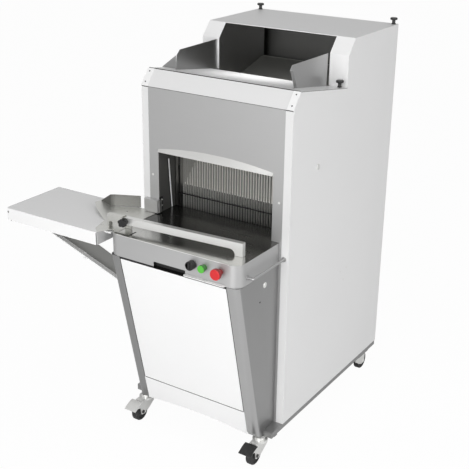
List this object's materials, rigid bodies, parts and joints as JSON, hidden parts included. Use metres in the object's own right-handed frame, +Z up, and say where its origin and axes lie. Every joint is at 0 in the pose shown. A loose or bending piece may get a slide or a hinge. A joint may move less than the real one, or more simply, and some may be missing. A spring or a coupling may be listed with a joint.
{
  "type": "bread slicer",
  "caption": "Floor-standing bread slicer on castors with a hooded hopper, reciprocating blade frames, outfeed table, crumb drawer and side shelf.",
  "frame": {"origin": "centre of the footprint on the floor", "axes": "+X to the machine's right seen from the front, +Y to the rear, +Z up"},
  "size_m": [1.084, 1.126, 1.54],
  "materials": {
    "stainless": "brushed stainless sheet, fine horizontal grain",
    "white_sheet": "smooth pale enamel, satin",
    "inner_steel": "plain machined steel",
    "blade_steel": "bright spring steel",
    "castings": "as cast, painted",
    "motor_paint": "grey paint",
    "belt_rubber": "matte",
    "zinc_plate": "bright zinc plate",
    "tyre_rubber": "matte",
    "black_plastic": "satin",
    "green_plastic": "gloss",
    "red_plastic": "gloss"
  },
  "bodies": {
    "cabinet": {"apron": "stainless", "bag_scoop": "stainless", "base_frame": "inner_steel", "bearing_blocks": "castings", "cable_gland": "black_plastic", "chamfer_strip": "white_sheet", "chute": "stainless", "control_box": "stainless", "corner_plates": "white_sheet", "deck": "stainless", "drawer_runners": "inner_steel", "drive_belt": "belt_rubber", "forks_rear": "zinc_plate", "frame_guides": "inner_steel", "front_panel": "stainless", "hood_shell": "stainless", "hopper_wall_left": "stainless", "hopper_wall_right": "stainless", "kick_strip": "white_sheet", "leg_left": "stainless", "leg_right": "stainless", "lower_bulkhead": "stainless", "motor": "motor_paint", "outfeed_table": "stainless", "panel_screws": "zinc_plate", "rear_panel": "white_sheet", "scoop_mount": "stainless", "shelf_stay": "stainless", "side_panel_left": "white_sheet", "side_panel_right": "white_sheet", "side_rod": "stainless", "side_shelf": "white_sheet"},
    "drawer": {"drawer_front": "white_sheet", "drawer_box": "inner_steel"},
    "selector": {"selector_switch": "black_plastic"},
    "start_key": {"start_button": "green_plastic"},
    "stop_key": {"stop_button": "red_plastic"},
    "bar": {"guide_bar": "stainless"},
    "bar_grip": {"bar_knob": "black_plastic"},
    "front_frame": {"blade_frame_front": "inner_steel", "blades_front": "blade_steel"},
    "rear_frame": {"blade_frame_rear": "inner_steel", "blades_rear": "blade_steel"},
    "crank": {"crankshaft": "inner_steel"},
    "front_rods": {"con_rods_front": "inner_steel"},
    "rear_rods": {"con_rods_rear": "inner_steel"},
    "motor_shaft": {"motor_pulley": "inner_steel"},
    "castor_left": {"fork_front_left": "zinc_plate"},
    "castor_right": {"fork_front_right": "zinc_plate"},
    "front_wheel_left": {"wheel_front_left": "tyre_rubber"},
    "front_wheel_right": {"wheel_front_right": "tyre_rubber"},
    "rear_wheel_left": {"wheel_rear_left": "tyre_rubber"},
    "rear_wheel_right": {"wheel_rear_right": "tyre_rubber"},
    "pedal_left": {"brake_pedal_left": "black_plastic"},
    "pedal_right": {"brake_pedal_right": "black_plastic"},
    "knob_rear_left": {"cover_knob_rear_left": "black_plastic"},
    "knob_rear_right": {"cover_knob_rear_right": "black_plastic"},
    "knob_front_left": {"cover_knob_front_left": "black_plastic"},
    "knob_front_right": {"cover_knob_front_right": "black_plastic"},
    "lock": {"side_lock": "zinc_plate"}
  },
  "joints": [
    {"name": "drawer_slide", "type": "slide", "parent": "cabinet", "child": "drawer", "axis": [0, -1, 0], "range_m": [0, 0.15]},
    {"name": "selector_turn", "type": "hinge", "parent": "cabinet", "child": "selector", "pos_m": [0.311, -0.527, 0.823], "axis": [0, 1, 0], "range_deg": [-45, 45]},
    {"name": "start_press", "type": "slide", "parent": "cabinet", "child": "start_key", "axis": [0, 1, 0], "range_m": [0, 0.004], "stiffness_N_per_m": 600},
    {"name": "stop_press", "type": "slide", "parent": "cabinet", "child": "stop_key", "axis": [0, 1, 0], "range_m": [0, 0.006], "stiffness_N_per_m": 800},
    {"name": "bar_lift", "type": "hinge", "parent": "cabinet", "child": "bar", "pos_m": [-0.018, -0.4733, 0.8935], "axis": [0.0692, -0.9976, 0], "range_deg": [0, 60]},
    {"name": "bar_knob_turn", "type": "hinge", "parent": "bar", "child": "bar_grip", "pos_m": [-0.018, -0.4733, 0.8935], "axis": [0.0692, -0.9976, 0], "continuous": true},
    {"name": "front_frame_stroke", "type": "slide", "parent": "cabinet", "child": "front_frame", "axis": [0, 0, 1], "range_m": [-0.02, 0.02]},
    {"name": "rear_frame_stroke", "type": "slide", "parent": "cabinet", "child": "rear_frame", "axis": [0, 0, 1], "range_m": [-0.02, 0.02]},
    {"name": "crank_spin", "type": "hinge", "parent": "cabinet", "child": "crank", "pos_m": [0.218, -0.13, 0.33], "axis": [1, 0, 0], "continuous": true},
    {"name": "front_rod_pivot", "type": "hinge", "parent": "crank", "child": "front_rods", "pos_m": [0.218, -0.15, 0.33], "axis": [1, 0, 0], "continuous": true},
    {"name": "rear_rod_pivot", "type": "hinge", "parent": "crank", "child": "rear_rods", "pos_m": [0.218, -0.11, 0.33], "axis": [1, 0, 0], "continuous": true},
    {"name": "motor_spin", "type": "hinge", "parent": "cabinet", "child": "motor_shaft", "pos_m": [0.368, 0.255, 0.21], "axis": [1, 0, 0], "continuous": true},
    {"name": "castor_swivel_left", "type": "hinge", "parent": "cabinet", "child": "castor_left", "pos_m": [-0.052, -0.345, 0.09], "axis": [0, 0, 1], "continuous": true},
    {"name": "front_wheel_spin_left", "type": "hinge", "parent": "castor_left", "child": "front_wheel_left", "pos_m": [-0.052, -0.391, 0.038], "axis": [1, 0, 0], "continuous": true},
    {"name": "brake_press_left", "type": "hinge", "parent": "castor_left", "child": "pedal_left", "pos_m": [-0.052, -0.418, 0.073], "axis": [1, 0, 0], "range_deg": [0, 12]},
    {"name": "rear_wheel_spin_left", "type": "hinge", "parent": "cabinet", "child": "rear_wheel_left", "pos_m": [-0.062, 0.486, 0.038], "axis": [1, 0, 0], "continuous": true},
    {"name": "castor_swivel_right", "type": "hinge", "parent": "cabinet", "child": "castor_right", "pos_m": [0.488, -0.345, 0.09], "axis": [0, 0, 1], "continuous": true},
    {"name": "front_wheel_spin_right", "type": "hinge", "parent": "castor_right", "child": "front_wheel_right", "pos_m": [0.488, -0.391, 0.038], "axis": [1, 0, 0], "continuous": true},
    {"name": "brake_press_right", "type": "hinge", "parent": "castor_right", "child": "pedal_right", "pos_m": [0.488, -0.418, 0.073], "axis": [1, 0, 0], "range_deg": [0, 12]},
    {"name": "rear_wheel_spin_right", "type": "hinge", "parent": "cabinet", "child": "rear_wheel_right", "pos_m": [0.498, 0.486, 0.038], "axis": [1, 0, 0], "continuous": true},
    {"name": "knob_turn_rear_left", "type": "hinge", "parent": "cabinet", "child": "knob_rear_left", "pos_m": [-0.087, 0.533, 1.515], "axis": [0, 0, 1], "continuous": true},
    {"name": "knob_turn_front_left", "type": "hinge", "parent": "cabinet", "child": "knob_front_left", "pos_m": [-0.083, 0.101, 1.34705], "axis": [0, 0, 1], "continuous": true},
    {"name": "knob_turn_rear_right", "type": "hinge", "parent": "cabinet", "child": "knob_rear_right", "pos_m": [0.523, 0.533, 1.515], "axis": [0, 0, 1], "continuous": true},
    {"name": "knob_turn_front_right", "type": "hinge", "parent": "cabinet", "child": "knob_front_right", "pos_m": [0.519, 0.101, 1.34705], "axis": [0, 0, 1], "continuous": true},
    {"name": "lock_turn", "type": "hinge", "parent": "cabinet", "child": "lock", "pos_m": [0.538, -0.074, 1.094], "axis": [1, 0, 0], "range_deg": [0, 90]}
  ],
  "couplings": [
    {"joint": "rear_frame_stroke", "follows": "front_frame_stroke", "ratio": -1},
    {"joint": "front_rod_pivot", "follows": "crank_spin", "ratio": -1},
    {"joint": "rear_rod_pivot", "follows": "crank_spin", "ratio": -1},
    {"joint": "motor_spin", "follows": "crank_spin", "ratio": 2}
  ]
}
